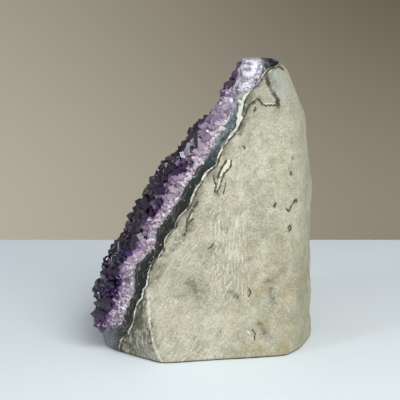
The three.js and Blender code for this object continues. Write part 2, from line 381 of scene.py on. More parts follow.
class Finish:
    """A material whose nodes are written as expressions."""

    def __init__(self, name):
        self.material = bpy.data.materials.new(name)
        self.material.use_nodes = True
        self.tree = self.material.node_tree
        self.tree.nodes.clear()

    def add(self, kind, settings=None, sockets=None, out=0):
        """Any node, with its settings made first, then its sockets. Gives one of its outputs."""
        node = self.tree.nodes.new(kind)
        for key, value in (settings or {}).items():
            if key == "stops":
                self.set_stops(node.color_ramp, value)
            else:
                setattr(node, key, value)
        for key, value in (sockets or {}).items():
            target = self.find(node.inputs, key)
            if isinstance(value, Wire):
                self.tree.links.new(value.socket, target)
            else:
                target.default_value = value
        return Wire(self, self.find(node.outputs, out))

    @staticmethod
    def find(sockets, key):
        """A socket by its number, its identifier or its name."""
        if isinstance(key, int):
            return sockets[key]
        exact = [socket for socket in sockets if socket.identifier == key]
        return exact[0] if exact else sockets[key]

    @staticmethod
    def set_stops(ramp, stops):
        """Each stop is a place from 0 to 1 and a screen colour's red, green and blue."""
        while len(ramp.elements) < len(stops):
            ramp.elements.new(0.5)
        for element, (place, *screen_colour) in zip(ramp.elements, stops):
            element.position = place
            element.color = paint(*screen_colour)

    def place(self):
        """Where a point of the piece is, in mm."""
        spot = self.add("ShaderNodeTexCoord", out="Object")
        return self.vector("SCALE", spot, Scale=1 / MM)

    def vector(self, operation, *values, out=0, **named):
        sockets = {**dict(enumerate(values)), **named}
        return self.add("ShaderNodeVectorMath", {"operation": operation}, sockets, out)

    def moved(self, where, shift):
        """The place moved, so that noise there differs from noise at the place itself."""
        return self.vector("ADD", where, shift)

    def part(self, vector, axis):
        return self.add("ShaderNodeSeparateXYZ", None, {0: vector}, out=axis)

    def stretch(self, vector, scale, turn=(0, 0, 0)):
        """The place scaled so that noise 1 mm across is drawn out to scale mm along each axis."""
        return self.add("ShaderNodeMapping", {"vector_type": "TEXTURE"},
                        {"Vector": vector, "Scale": scale, "Rotation": turn})

    def field(self, name):
        """A number that was noted for each corner or face."""
        return self.add("ShaderNodeAttribute", {"attribute_name": name}, out="Fac")

    def clouds(self, where, size, detail=3.0, rough=0.55, warp=0.0):
        """Noise about 0.5 high, with blobs about size mm across."""
        return self.add("ShaderNodeTexNoise", None, {
            "Vector": where, "Scale": 1 / size, "Detail": detail, "Roughness": rough,
            "Distortion": warp})

    def cells(self, where, size):
        """Distance from the nearest of some scattered points, about size mm apart."""
        sockets = {"Vector": where, "Scale": 1 / size}
        return self.add("ShaderNodeTexVoronoi", {"feature": "F1"}, sockets, "Distance")

    def ramp(self, factor, *stops):
        return self.add("ShaderNodeValToRGB", {"stops": stops}, {0: factor})

    def mix(self, factor, first, second):
        sockets = {"Factor_Float": factor, "A_Color": first, "B_Color": second}
        return self.add("ShaderNodeMix", {"data_type": "RGBA"}, sockets, "Result_Color")

    def bump(self, height, depth):
        """A surface normal from relief, where 1 in height is depth mm."""
        return self.add("ShaderNodeBump", None, {
            "Height": height, "Distance": depth * MM, "Strength": 1.0})

    def stroke(self, flat_spot, points, width):
        """1 on a line through (y, z) points, fading to nothing at twice the width from it."""
        nearest = None
        for (y0, z0), (y1, z1) in zip(points, points[1:]):
            run = Vector((0, y1 - y0, z1 - z0))
            start = self.vector("SUBTRACT", flat_spot, (0, y0, z0))
            share = self.vector("DOT_PRODUCT", start, tuple(run / run.length_squared), out="Value")
            share = share.highest(0).lowest(1)
            nearest_point = self.vector("SCALE", tuple(run), Scale=share)
            away = self.vector("LENGTH", self.vector("SUBTRACT", start, nearest_point), out="Value")
            nearest = away if nearest is None else nearest.lowest(away)
        return nearest.rise(width * 2, 0)

    def strokes(self, flat_spot, lines):
        """Several strokes as one, from (points, width) pairs."""
        total = None
        for points, width in lines:
            one = self.stroke(flat_spot, points, width)
            total = one if total is None else total.highest(one)
        return total

    def surface(self, **sockets):
        """The finish's shader, given by its sockets' names, with _ for each space."""
        named = {key.replace("_", " "): value for key, value in sockets.items()}
        self.output(Surface=self.add("ShaderNodeBsdfPrincipled", None, named))

    def output(self, **shaders):
        node = self.tree.nodes.new("ShaderNodeOutputMaterial")
        for name, shader in shaders.items():
            self.tree.links.new(shader.socket, node.inputs[name])


def paint(red, green, blue):
    """A screen colour from 0 to 255 as the linear colour that a shader takes."""
    channels = [c / 255 for c in (red, green, blue)]
    return (*[c / 12.92 if c <= 0.04045 else ((c + 0.055) / 1.055) ** 2.4 for c in channels], 1)


# Marks on the near ground side, each a line through (y, z) points and its half width.
DARK_CRACKS = [
    ([(45, 154.8), (42.7, 156.2), (39, 156.4), (36.7, 155.8), (35, 153.9)], 0.6),
    ([(35, 153.9), (35.2, 151), (36, 148.4), (37.8, 145.6), (39.5, 142), (41, 139.4),
      (41.6, 136.5)], 1.0),
    ([(41.6, 136.3), (38.5, 136.6), (35, 136.4), (33, 137.3), (32, 139.4)], 0.5),
    ([(32, 139.4), (30, 139.8), (28.5, 138.2), (26, 136.6), (24.4, 133.6), (23.6, 131)], 0.6),
    ([(29.2, 135.4), (29, 133.8)], 0.7),
    ([(13.6, 107.6), (11, 104.4), (9.6, 101.4), (9, 98.4)], 0.5),
    ([(16.2, 107.6), (15.8, 104.4), (12.8, 101.4), (11.2, 97.5), (8.6, 91)], 0.45),
    ([(6.4, 100), (7.6, 95), (7.2, 91)], 0.4),
    ([(13, 96), (12, 90)], 0.35),
    ([(-2, 86.4), (-5.4, 81), (-7.4, 76), (-8.4, 72), (-9.4, 69)], 0.6),
    ([(-4.6, 77.6), (-7.8, 73.6)], 0.4),
    ([(3.6, 60.6), (5.2, 61.6), (6.4, 63.2)], 0.4),
    ([(51.8, 84.8), (50.9, 83.8)], 0.9),
    ([(50.9, 83.8), (49, 81.4), (47.6, 79), (46.6, 80.4)], 0.42),
    ([(40.7, 83.6), (39.9, 81.6)], 0.55),
    ([(48.6, 71.4), (49.1, 69.8), (48, 68.6), (47.3, 70), (48.6, 71.4)], 0.38),
    ([(-27, 22), (-27.8, 17), (-27.6, 11)], 0.6),
    ([(25.6, 37.6), (26.4, 35.4), (25.4, 34)], 0.45),
    ([(27.6, 15.6), (29, 13.4), (28.2, 10.6)], 0.5),
    ([(48.7, 100.4), (49, 99.2)], 0.6),
    ([(49.6, 108.6), (49.9, 107.4)], 0.35),
    ([(23, 115.2), (23.4, 113.8)], 0.5),
]
CREAM_MARKS = [
    ([(15, 107.4), (14, 105), (12, 103)], 1.1),
    ([(12, 103), (10.4, 99.8)], 0.6),
    ([(9.8, 97.6), (8.8, 92.6)], 0.45),
    ([(-5, 80), (-8, 73.6)], 0.35),
    ([(-30, 51.4), (-33.6, 50.8)], 0.7),
    ([(24.8, 15.6), (26, 13.6)], 0.4),
    ([(27.4, 11.4), (28, 10)], 0.4),
    ([(39.6, 137.5), (34.6, 137.3)], 0.25),
]
BLUISH_LOBE = [([(40.5, 151), (43.5, 143)], 2.6)]
SMEARS = [
    ([(38, 152), (40, 147)], 2.4),
    ([(41.4, 139), (41.8, 134)], 1.6),
    ([(31, 139.6), (26, 138.6), (24, 134)], 1.8),
    ([(24, 131), (20.6, 122)], 1.4),
    ([(8, 101), (9, 90)], 1.4),
    ([(-3, 86), (-6, 81)], 1.5),
    ([(-13, 66), (-6, 74)], 2.2),
    ([(-16, 62), (-11, 66)], 1.8),
    ([(-22, 54), (-24, 46)], 1.6),
    ([(-6.5, 42.9), (-1.1, 36.1)], 2.8),
    ([(16, 37), (20, 33)], 1.4),
    ([(-28, 24), (-27, 8)], 2.0),
    ([(31, 19), (36, 12)], 1.6),
    ([(36, 42), (40, 30)], 1.6),
]


NEAR_SIDE_FROM, NEAR_SIDE_FULL = 2, 12    # the marks above fade in between these X

# Places in mm that noise is moved by, so that one pattern doesn't follow another.
CLOUDY_SHIFT = (3, 17, 29)
ROSY_SHIFT = (31, 7, 19)
SPECK_SHIFT = (9, 5, 3)


def basalt_ground(f, spot, back, height, mottle, grain):
    """The stone's own colour: broad blotches, a mottle and a fine grain."""
    blotch = f.clouds(spot, 24, 4, 0.6, 0.6)
    tone = blotch * 0.4 + mottle * 0.35 + grain * 0.25
    colour = f.ramp(tone, (0.34, 132, 127, 106), (0.44, 166, 162, 139),
                    (0.53, 193, 188, 165), (0.66, 219, 214, 194))
    green = f.clouds(spot, 12, 4, 0.65).rise(0.48, 0.62)
    colour = f.mix(green * 0.3, colour, paint(160, 163, 142))
    cloudy = f.clouds(f.moved(spot, CLOUDY_SHIFT), 10, 4, 0.65, 0.8)
    colour = f.mix(cloudy.rise(0.5, 0.36) * 0.45, colour, paint(140, 135, 112))
    colour = f.mix(cloudy.rise(0.52, 0.66) * 0.35, colour, paint(226, 220, 198))
    rosy = f.clouds(f.moved(spot, ROSY_SHIFT), 9, 4, 0.7).rise(0.48, 0.6) * back.rise(40, 10)
    colour = f.mix(rosy * 0.4, colour, paint(194, 182, 162))
    far_end = back.rise(18, 50)
    colour = f.mix(far_end * 0.25, colour, paint(168, 164, 136))
    crown = height.rise(112, 150)
    colour = f.mix(crown * 0.45, colour, paint(156, 158, 146))
    colour = f.mix(grain.rise(0.52, 0.66) * 0.45, colour, paint(232, 228, 208))
    return f.mix(grain.rise(0.48, 0.34) * 0.45, colour, paint(112, 108, 88))


def basalt_stains(f, spot, back, height, colour):
    """Ochre stains low on the side, and pale upright streaks in its middle."""
    stained = f.clouds(spot, 7, 5, 0.75).rise(0.46, 0.62) * back.rise(6, 30) * height.rise(80, 34)
    colour = f.mix(stained * 0.6, colour, paint(160, 144, 96))
    upright = f.clouds(f.stretch(spot, (1, 0.8, 16)), 1, 3, 0.65)
    middle = back.rise(2, 8) * back.rise(30, 22) * height.rise(88, 76) * height.rise(28, 38)
    colour = f.mix(upright.rise(0.5, 0.66) * middle * 0.75, colour, paint(232, 226, 204))
    colour = f.mix(upright.rise(0.5, 0.34) * middle * 0.3, colour, paint(158, 156, 136))
    rounded = back.rise(46, 55)
    dull = (upright.rise(0.6, 0.36) * 0.5 + 0.05) * rounded
    return f.mix(dull, colour, paint(146, 146, 130))


def basalt_scratches(f, spot, back, height, colour):
    """Grinding scratches down towards the back, and a fainter set across them. Gives their relief."""
    down = f.stretch(spot, (1, 0.26, 12), (math.radians(-40), 0, 0))
    scratch = f.clouds(down, 1, 3, 0.6)
    across = f.stretch(spot, (1, 0.28, 9), (math.radians(62), 0, 0))
    crossing = f.clouds(across, 1, 3, 0.6)
    marked = f.clouds(spot, 16, 2).rise(0.36, 0.58) * back.rise(28, 8) * height.rise(112, 92)
    marked = marked * 0.8 + 0.2
    colour = f.mix(scratch.rise(0.52, 0.64) * marked * 0.65, colour, paint(234, 229, 210))
    colour = f.mix(scratch.rise(0.48, 0.36) * marked * 0.6, colour, paint(120, 116, 96))
    colour = f.mix(crossing.rise(0.48, 0.36) * marked * 0.3, colour, paint(128, 125, 106))
    colour = f.mix(crossing.rise(0.56, 0.68) * marked * 0.35, colour, paint(232, 228, 210))
    return colour, scratch * marked


def basalt_marks(f, spot, side, colour):
    """The smears, cream inclusions and cracks of the near side.

    Gives the cracks' depth as well, and the drifting place that all such marks are drawn on.
    """
    drifting = spot
    for size, reach in ((6, 2.0), (1.4, 1.5)):
        drift = f.vector("SUBTRACT", f.clouds(spot, size, 2).also("Color"), (0.5, 0.5, 0.5))
        drifting = f.vector("ADD", drifting, f.vector("SCALE", drift, Scale=reach))
    flat = f.vector("MULTIPLY", drifting, (0, 1, 1))

    smear = f.strokes(flat, SMEARS) * side * f.clouds(spot, 2.0, 5, 0.8).rise(0.36, 0.6)
    colour = f.mix(smear * 0.8, colour, paint(100, 97, 80))
    cream = f.strokes(flat, CREAM_MARKS) * side
    colour = f.mix(cream.rise(0.05, 0.4) * 0.6, colour, paint(92, 86, 66))
    colour = f.mix(cream.rise(0.4, 0.6) * 0.95, colour, paint(228, 222, 198))
    broken = f.clouds(spot, 2.0, 2).rise(0.34, 0.56)
    crack = f.strokes(flat, DARK_CRACKS) * side
    colour = f.mix(crack * 0.6, colour, paint(104, 97, 76))
    crack = crack.rise(0.4, 0.8) * (broken * 0.75 + 0.25)
    return f.mix(crack * 0.85, colour, paint(58, 52, 40)), crack, flat


def basalt_foot(f, spot, layer, colour):
    """The streaked facet at the front of the foot, picked out by the way it faces, with painted shade
    over all of it.
    """
    foot = f.part(f.add("ShaderNodeNewGeometry", out="True Normal"), "Y").rise(-0.3, -0.5)
    streaked = f.clouds(f.stretch(spot, (0.9, 0.9, 12)), 1, 3, 0.6).rise(0.5, 0.34)
    # Painted shade over the whole facet, deeper along its dark streaks.
    colour = f.mix(foot * (streaked * 0.6 + 0.25), colour, paint(104, 101, 85))
    # Darker patches near the vein.
    darker_by_vein = f.clouds(spot, 4, 4, 0.75).rise(0.4, 0.56) * layer.rise(-14, -5)
    colour = f.mix(foot * darker_by_vein * 0.75, colour, paint(70, 66, 52))
    white = f.clouds(f.stretch(spot, (1.1, 1.1, 6)), 1, 3).rise(0.56, 0.68)
    return f.mix(foot * white * 0.6, colour, paint(220, 216, 202))


def basalt_finish():
    f = Finish("ground basalt")
    spot = f.place()
    side = f.part(spot, "X").rise(NEAR_SIDE_FROM, NEAR_SIDE_FULL)
    back = f.part(spot, "Y")
    height = f.part(spot, "Z")
    mottle = f.clouds(spot, 5, 5, 0.7)
    grain = f.clouds(spot, 0.8, 3, 0.8)
    colour = basalt_ground(f, spot, back, height, mottle, grain)
    colour = basalt_stains(f, spot, back, height, colour)
    colour, scratched = basalt_scratches(f, spot, back, height, colour)

    specks = f.clouds(f.moved(spot, SPECK_SHIFT), 1.3, 3, 0.7).rise(0.37, 0.29)
    specks = specks * f.clouds(spot, 6, 3).rise(0.4, 0.6)
    colour = f.mix(specks * 0.8, colour, paint(92, 88, 70))
    colour, crack, flat = basalt_marks(f, spot, side, colour)

    # A soft shadow and a dark line beside the vein.
    layer = f.field("from_basalt") + (f.clouds(spot, 2.0, 3) - 0.5) * 1.6
    near_vein = layer.rise(-5.5, -0.4) * f.clouds(spot, 6, 3).rise(0.36, 0.56)
    colour = f.mix(near_vein * 0.75, colour, paint(100, 96, 78))
    line = layer.rise(-1.2, -0.5) * (f.clouds(spot, 5, 2).rise(0.38, 0.58) * 0.75 + 0.25)
    colour = f.mix(line * 0.9, colour, paint(50, 46, 36))

    # A bluish lobe near the top, and a pale line along the edge between the side and the foot, partly
    # wear and partly a painted highlight.
    lobe = f.strokes(flat, BLUISH_LOBE) * side * (mottle.rise(0.35, 0.6) * 0.5 + 0.3)
    colour = f.mix(lobe, colour, paint(166, 171, 168))
    # Worn edge with a painted highlight along it.
    edge_wear_and_highlight = f.field("edge").rise(0.5, 0.9) * side * height.rise(46, 34) * back.rise(0, -6)
    colour = f.mix(edge_wear_and_highlight * 0.85, colour, paint(234, 229, 208))
    colour = basalt_foot(f, spot, layer, colour)

    # Painted contact shadow: the bottom rim darkened where the rock stands on its base.
    colour = f.mix(height.rise(1.4, 0.3) * 0.8, colour, paint(62, 59, 48))

    relief = grain * 0.9 + mottle * 0.6 + scratched * 0.5
    relief = relief - crack * 1.6 - line * 1.1 - specks * 0.6
    f.surface(Base_Color=colour, Roughness=0.8 + mottle * 0.15, Specular_IOR_Level=0.25,
              Normal=f.bump(relief, 0.4))
    return f.material


def vein_finish():
    f = Finish("cream vein")
    spot = f.place()
    height = f.part(spot, "Z")
    mottle = f.clouds(spot, 1.6, 4, 0.7)
    colour = f.ramp(mottle, (0.32, 120, 112, 90), (0.47, 206, 199, 178), (0.62, 242, 238, 226))
    broad = height.rise(118, 128) * height.rise(146, 141)
    colour = f.mix(broad * 0.8, colour, paint(206, 208, 194))
    dull = f.clouds(spot, 5, 2).rise(0.5, 0.62) * (1 - broad)
    colour = f.mix(dull * 0.85, colour, paint(92, 84, 64))
    f.surface(Base_Color=colour, Roughness=0.55 + mottle * 0.2, Normal=f.bump(mottle, 0.4))
    return f.material


def agate_ground(f, spot, back, height, front, wobble):
    """The agate's own colours, which change from its foot to its top. Gives its mottle as well."""
    layered = f.add("ShaderNodeCombineXYZ", None, {
        "X": front + wobble * 0.5, "Y": height * 0.25, "Z": f.part(spot, "X") * 0.25})
    mottle = f.clouds(spot, 2.6, 5, 0.7) * 0.4 + f.clouds(layered, 1.5, 4, 0.7) * 0.6
    dark = f.ramp(mottle, (0.4, 5, 6, 5), (0.51, 16, 17, 15), (0.57, 46, 46, 41),
                  (0.66, 128, 124, 112))
    upper = f.ramp(mottle, (0.38, 34, 41, 43), (0.5, 74, 85, 89), (0.62, 142, 150, 148))
    colour = f.mix((height + wobble * 3).rise(98, 122), dark, upper)
    foot = f.ramp(mottle, (0.38, 26, 26, 23), (0.5, 48, 47, 42), (0.64, 98, 96, 86))
    colour = f.mix((height + wobble).rise(30, 12), colour, foot)
    milky = (back + wobble).rise(-44, -52) * height.rise(30, 18)
    lavender = f.ramp(mottle, (0.36, 98, 94, 101), (0.62, 150, 146, 152))
    colour = f.mix(milky * 0.85, colour, lavender)
    green = f.clouds(spot, 5, 2).rise(0.5, 0.62) * height.rise(84, 94) * height.rise(116, 106)
    colour = f.mix(green * 0.7, colour, paint(20, 44, 34))
    pinched = height.rise(138, 143) * height.rise(152, 149)
    colour = f.mix(pinched * 0.85, colour, paint(168, 170, 158))
    cap = back.rise(33.5, 36) * height.rise(152, 155)
    black = f.ramp(mottle, (0.42, 5, 8, 9), (0.52, 24, 34, 36), (0.64, 92, 112, 120))
    return f.mix(cap, colour, black), mottle


def agate_finish():
    f = Finish("banded agate")
    spot = f.place()
    back = f.part(spot, "Y")
    height = f.part(spot, "Z")
    front = f.field("from_agate") * -1
    wobble = (f.clouds(spot, 5, 3) - 0.5) * 3
    colour, mottle = agate_ground(f, spot, back, height, front, wobble)

    # Pale laminae follow the layer, closest together beside the quartz.
    lamina = (front * 4.2 + wobble * 2.2).sine()
    beside = front.rise(3.6, 0.5)
    faint = f.clouds(spot, 4, 3).rise(0.4, 0.6)
    colour = f.mix(lamina.rise(0.2, 0.9) * beside * faint * 0.7, colour, paint(132, 132, 126))
    rim = (front + wobble * 0.3).rise(1.1, 0.1) * (faint * 0.6 + 0.3)
    colour = f.mix(rim, colour, paint(160, 156, 156))
    flecks = f.cells(spot, 2.0).rise(0.3, 0.12) * f.clouds(spot, 5, 2).rise(0.46, 0.6)
    colour = f.mix(flecks * 0.7, colour, paint(186, 188, 180))

    relief = mottle + lamina * 0.2 * beside
    f.surface(Base_Color=colour, Roughness=0.3 + mottle * 0.3, Specular_IOR_Level=0.35,
              Normal=f.bump(relief, 0.18))
    return f.material


QUARTZ_IOR = 1.544


def quartz_colour(f, spot):
    """White beside the agate and at the top, lavender further out, purple under the crystals."""
    height = f.part(spot, "Z")
    out = f.field("from_agate") + (f.clouds(spot, 4, 4) - 0.5) * 5 - height.rise(128, 142) * 6
    out = out + height.rise(84, 48) * 1.4
    patch = f.clouds(spot, 1.4, 4, 0.75)
    pale = f.ramp(patch, (0.34, 80, 64, 70), (0.46, 172, 152, 162), (0.62, 248, 236, 240))
    mauve = f.ramp(patch, (0.34, 74, 48, 76), (0.5, 172, 144, 168), (0.66, 242, 224, 234))
    deep = f.ramp(patch, (0.34, 40, 20, 56), (0.6, 112, 76, 134))
    colour = f.mix(out.rise(2, 5), pale, mauve)
    colour = f.mix(out.rise(6.5, 10.5), colour, deep)
    icy = f.ramp(f.clouds(spot, 3.4, 4, 0.6), (0.38, 84, 92, 114), (0.48, 178, 172, 188),
                 (0.6, 244, 238, 244))
    colour = f.mix(height.rise(136, 148) * 0.8, colour, icy)
    grey = height.rise(22, 10)
    return f.mix(grey * 0.8, colour, paint(90, 86, 97))


def quartz_finish():
    f = Finish("milky quartz")
    spot = f.place()
    colour = quartz_colour(f, spot)
    sparkle = f.cells(spot, 0.9)
    f.surface(Base_Color=colour, Roughness=0.3 + sparkle * 0.25, Coat_Weight=0.4,
              Normal=f.bump(sparkle, 0.3))
    return f.material


def grain_finish():
    f = Finish("quartz grains")
    spot = f.place()
    colour = quartz_colour(f, spot)
    tone = f.field("tone")
    colour = f.mix(tone.rise(0.7, 1.0) * 0.5, colour, paint(240, 232, 238))
    colour = f.mix(tone.rise(0.4, 0.0) * 0.6, colour, paint(104, 84, 108))
    f.surface(Base_Color=colour, Roughness=0.25, Coat_Weight=0.2)
    return f.material


def clear_crystal(f, colour, clearness, tint, density):
    """See-through crystal: light is coloured at its faces and soaked up on the way through."""
    shader = f.add("ShaderNodeBsdfPrincipled", None, {
        "Base Color": colour, "Roughness": 0.04, "IOR": QUARTZ_IOR,
        "Transmission Weight": clearness})
    soaked = f.add("ShaderNodeVolumeAbsorption", None, {"Color": (*tint, 1), "Density": density})
    f.output(Surface=shader, Volume=soaked)
    return f.material


def amethyst_finish():
    """Deep purple, with some smoky crystals, and paler at the top and the foot."""
    f = Finish("deep amethyst")
    spot = f.place()
    tone = f.field("tone")
    patch = f.clouds(spot, 10, 2)
    colour = f.ramp(tone * 0.7 + patch * 0.3, (0.2, 74, 36, 98), (0.5, 122, 72, 152),
                    (0.7, 172, 128, 194), (0.84, 226, 206, 234))
    smoky = f.clouds(spot, 8, 1).rise(0.58, 0.66)
    colour = f.mix(smoky * 0.6, colour, paint(150, 112, 98))
    height = f.part(spot, "Z")
    ends = height.rise(121, 134).highest(height.rise(30, 15))
    colour = f.mix(ends * 0.75, colour, paint(236, 214, 232))
    return clear_crystal(f, colour, clearness=0.96, tint=(0.44, 0.09, 0.55), density=370)


def pale_amethyst_finish():
    """Pale lavender beside the agate and high up, purple further out."""
    f = Finish("pale amethyst")
    spot = f.place()
    tone = f.field("tone")
    height = f.part(spot, "Z")
    out = f.field("from_agate") + (f.clouds(spot, 5, 3) - 0.5) * 5 - height.rise(52, 92) * 4
    near = f.ramp(tone, (0.0, 150, 112, 154), (0.5, 216, 186, 212), (1.0, 252, 240, 248))
    far = f.ramp(tone, (0.0, 58, 22, 90), (0.5, 108, 58, 146), (1.0, 186, 142, 210))
    high = f.ramp(tone, (0.0, 128, 90, 144), (0.4, 228, 202, 230), (0.8, 255, 250, 255))
    colour = f.mix(out.rise(3.8, 7.5), near, far)
    colour = f.mix(height.rise(106, 118), colour, high)
    return clear_crystal(f, colour, clearness=0.66, tint=(0.5, 0.18, 0.62), density=130)


# ---------------------------------------------------------------- crystals
CRYSTAL_KINDS = 14
POINT_SLOPE = math.radians(52)    # a point's faces against the crystal's cross-section
ROOT_DEPTH = 1.1                  # how far a crystal goes below where it stands, in radii
SIDE_REACH = 0.87                 # its sides' distance from its axis, in radii
FIRST_SEED = 100                  # each kind's seed is this and its number
PARALLEL = 1e-4                   # three planes with a determinant below this never meet
ROUNDING = 1e-6                   # a corner this far outside a plane still counts as on it
SAME_CORNER = 1e-4                # two corners this close are one
SAME_FACE = 0.01                  # and so are two faces with this angle between them, in radians


def solid_between(planes):
    """The closed convex shape inside planes, each a unit normal and a distance from the origin.

    Its corners are the points where three planes meet that no other plane cuts off.
    """
    normals = np.array([normal for normal, _ in planes])
    reaches = np.array([reach for _, reach in planes])
    shape = bmesh.new()
    for trio in itertools.combinations(range(len(planes)), 3):
        chosen = normals[list(trio)]
        if abs(np.linalg.det(chosen)) < PARALLEL:
            continue
        corner = np.linalg.solve(chosen, reaches[list(trio)])
        if np.all(normals @ corner <= reaches + ROUNDING):
            shape.verts.new(corner)
    bmesh.ops.remove_doubles(shape, verts=shape.verts, dist=SAME_CORNER)
    bmesh.ops.convex_hull(shape, input=shape.verts)
    bmesh.ops.dissolve_limit(shape, angle_limit=SAME_FACE, verts=shape.verts, edges=shape.edges)
    return shape


def crystal_kind(index, slender):
    """One six-sided crystal, a unit in radius, rooted below the origin, with a tone of its own.

    Three broad faces make its point and three narrow ones cut the corners between them.
    """
    dice = random.Random(FIRST_SEED + index)
    planes = [((0, 0, -1), ROOT_DEPTH * slender)]
    peak = dice.uniform(1.15, 1.7) * slender
    for side in range(6):
        angle = side * math.pi / 3 + dice.uniform(-0.05, 0.05)
        across, along_y = math.cos(angle), math.sin(angle)
        planes.append(((across, along_y, 0), SIDE_REACH * dice.uniform(0.8, 1.12)))
        slope = POINT_SLOPE + dice.uniform(-0.04, 0.04)
        raised = dice.uniform(-0.16, 0.04) if side % 2 else dice.uniform(0.02, 0.4)
        height = peak * (1 + raised)
        normal = (across * math.sin(slope), along_y * math.sin(slope), math.cos(slope))
        planes.append((normal, height * math.cos(slope)))
    shape = solid_between(planes)
    mesh = bpy.data.meshes.new(f"crystal kind {index}")
    shape.to_mesh(mesh)
    shape.free()
    tone = mesh.attributes.new("tone", "FLOAT", "FACE")
    tone.data.foreach_set("value", [index / (CRYSTAL_KINDS - 1)] * len(mesh.polygons))
    return bpy.data.objects.new(mesh.name, mesh)


def crystal_kinds(name, slender):
    """A collection of crystals to pick from. Slender ones are longer for their radius."""
    kinds = bpy.data.collections.new(name)
    for index in range(CRYSTAL_KINDS):
        kinds.objects.link(crystal_kind(index, slender))
    return kinds


class Growth:
    """A Geometry Nodes tree that stands crystals on a surface and joins them in one solid."""

    INPUTS = {
        "Kinds": "NodeSocketCollection", "Spacing": "NodeSocketFloat", "Smallest": "NodeSocketFloat",
        "Largest": "NodeSocketFloat", "Tilt": "NodeSocketFloat", "Way": "NodeSocketVector",
        "Way Share": "NodeSocketFloat", "Seed": "NodeSocketInt", "Finish": "NodeSocketMaterial",
    }
    MOST_ROOTS = 4e6              # for each square metre, before they are thinned to the spacing

    def __init__(self):
        self.tree = bpy.data.node_groups.new("crystal growth", "GeometryNodeTree")
        face = self.tree.interface
        face.new_socket("Surface", in_out="INPUT", socket_type="NodeSocketGeometry")
        self.sockets = {name: face.new_socket(name, in_out="INPUT", socket_type=kind)
                        for name, kind in self.INPUTS.items()}
        face.new_socket("Crystals", in_out="OUTPUT", socket_type="NodeSocketGeometry")
        self.build()

    def add(self, kind, settings=None, sockets=None):
        """A node, with its settings made first, then the values or links of its sockets."""
        node = self.tree.nodes.new(kind)
        for key, value in (settings or {}).items():
            setattr(node, key, value)
        for key, value in (sockets or {}).items():
            if isinstance(value, bpy.types.NodeSocket):
                self.tree.links.new(value, node.inputs[key])
            else:
                node.inputs[key].default_value = value
        return node

    def build(self):
        """Roots at a least spacing, each with a kind, a way to stand and a size, then one solid."""
        given = self.add("NodeGroupInput").outputs
        roots = self.add("GeometryNodeDistributePointsOnFaces", {"distribute_method": "POISSON"}, {
            "Mesh": given["Surface"], "Distance Min": given["Spacing"],
            "Density Max": self.MOST_ROOTS, "Seed": given["Seed"]})
        way = self.add("ShaderNodeMix", {"data_type": "VECTOR"}, {
            0: given["Way Share"], 4: roots.outputs["Normal"], 5: given["Way"]})
        stand = self.add("FunctionNodeAlignRotationToVector", {"axis": "Z"}, {"Vector": way.outputs[1]})
        lean = self.add("ShaderNodeMath", {"operation": "MULTIPLY"}, {0: given["Tilt"], 1: -1.0})
        least = self.add("ShaderNodeCombineXYZ", None, {
            "X": lean.outputs[0], "Y": lean.outputs[0], "Z": 0.0})
        most = self.add("ShaderNodeCombineXYZ", None, {
            "X": given["Tilt"], "Y": given["Tilt"], "Z": math.tau})
        turn = self.add("FunctionNodeRandomValue", {"data_type": "FLOAT_VECTOR"}, {
            0: least.outputs[0], 1: most.outputs[0], "Seed": given["Seed"]})
        turn = self.add("FunctionNodeEulerToRotation", None, {0: turn.outputs[0]})
        stand = self.add("FunctionNodeRotateRotation", {"rotation_space": "LOCAL"}, {
            0: stand.outputs[0], 1: turn.outputs[0]})
        size = self.add("FunctionNodeRandomValue", {"data_type": "FLOAT"}, {
            2: given["Smallest"], 3: given["Largest"], "Seed": given["Seed"]})
        vigour = self.add("GeometryNodeInputNamedAttribute", {"data_type": "FLOAT"}, {"Name": "vigour"})
        size = self.add("ShaderNodeMath", {"operation": "MULTIPLY"}, {
            0: size.outputs[1], 1: vigour.outputs[0]})
        kinds = self.add("GeometryNodeCollectionInfo", None, {
            "Collection": given["Kinds"], "Separate Children": True, "Reset Children": True})
        stood = self.add("GeometryNodeInstanceOnPoints", None, {
            "Points": roots.outputs["Points"], "Instance": kinds.outputs[0], "Pick Instance": True,
            "Rotation": stand.outputs[0], "Scale": size.outputs[0]})
        joined = self.add("GeometryNodeMeshBoolean", {"operation": "UNION", "solver": "MANIFOLD"}, {
            "Mesh 2": stood.outputs[0]})
        real = self.add("GeometryNodeRealizeInstances", None, {0: joined.outputs[0]})
        finished = self.add("GeometryNodeSetMaterial", None, {
            0: real.outputs[0], "Material": given["Finish"]})
        self.add("NodeGroupOutput", None, {0: finished.outputs[0]})

    def crop(self, name, surface, **values):
        """The crystals that grow on a surface, as one plain mesh. The surface itself stays."""
        bearer = copy_of(surface, name)
        grown = bearer.modifiers.new("growth", "NODES")
        grown.node_group = self.tree
        for key, value in values.items():
            grown[self.sockets[key.replace("_", " ").title()].identifier] = value
        return baked(bearer, name)


ROOT_SINK = 0.1                   # crystals stand this far behind the bed's open face


def bed_patch(name, z, near, far):
    """Part of the quartz bed's open face, between two X borders that change with height.

    Its vigour is how large crystals grow there: less near the top and the foot.
    """
    columns = 64
    share = np.linspace(0, 1, columns)[None, :]
    z = z[:, None] * np.ones((1, columns))
    x = near[:, None] + (far - near)[:, None] * share
    y = bed_front(x, z) - ROOT_SINK
    grid = np.arange(z.size).reshape(z.shape)
    faces = np.stack([grid[:-1, :-1], grid[1:, :-1], grid[1:, 1:], grid[:-1, 1:]], axis=-1)
    corners = np.stack([x, y, z], axis=-1).reshape(-1, 3)
    piece = mesh_object(name, corners, faces.reshape(-1, 4).tolist())
    waves = 0.28 * ripple(x, z, 19, seed=61)
    vigour = 1 + waves - 0.3 * ease(z, 122, 140) - 0.35 * ease(-z, -32, -16)
    note(piece, "vigour", np.clip(vigour, 0.55, 1.5).ravel())
    return piece


EDGE_MARGIN = 2.4                 # how far inside the ground sides the deep crystals stand
STRIP_MARGIN = 3.4                # and the pale ones of the strip
STRIP_BOTTOM, STRIP_TOP = 108, 142
TUCK_BELOW, TUCK_SLOPE, MOST_TUCK = 62, 0.27, 14


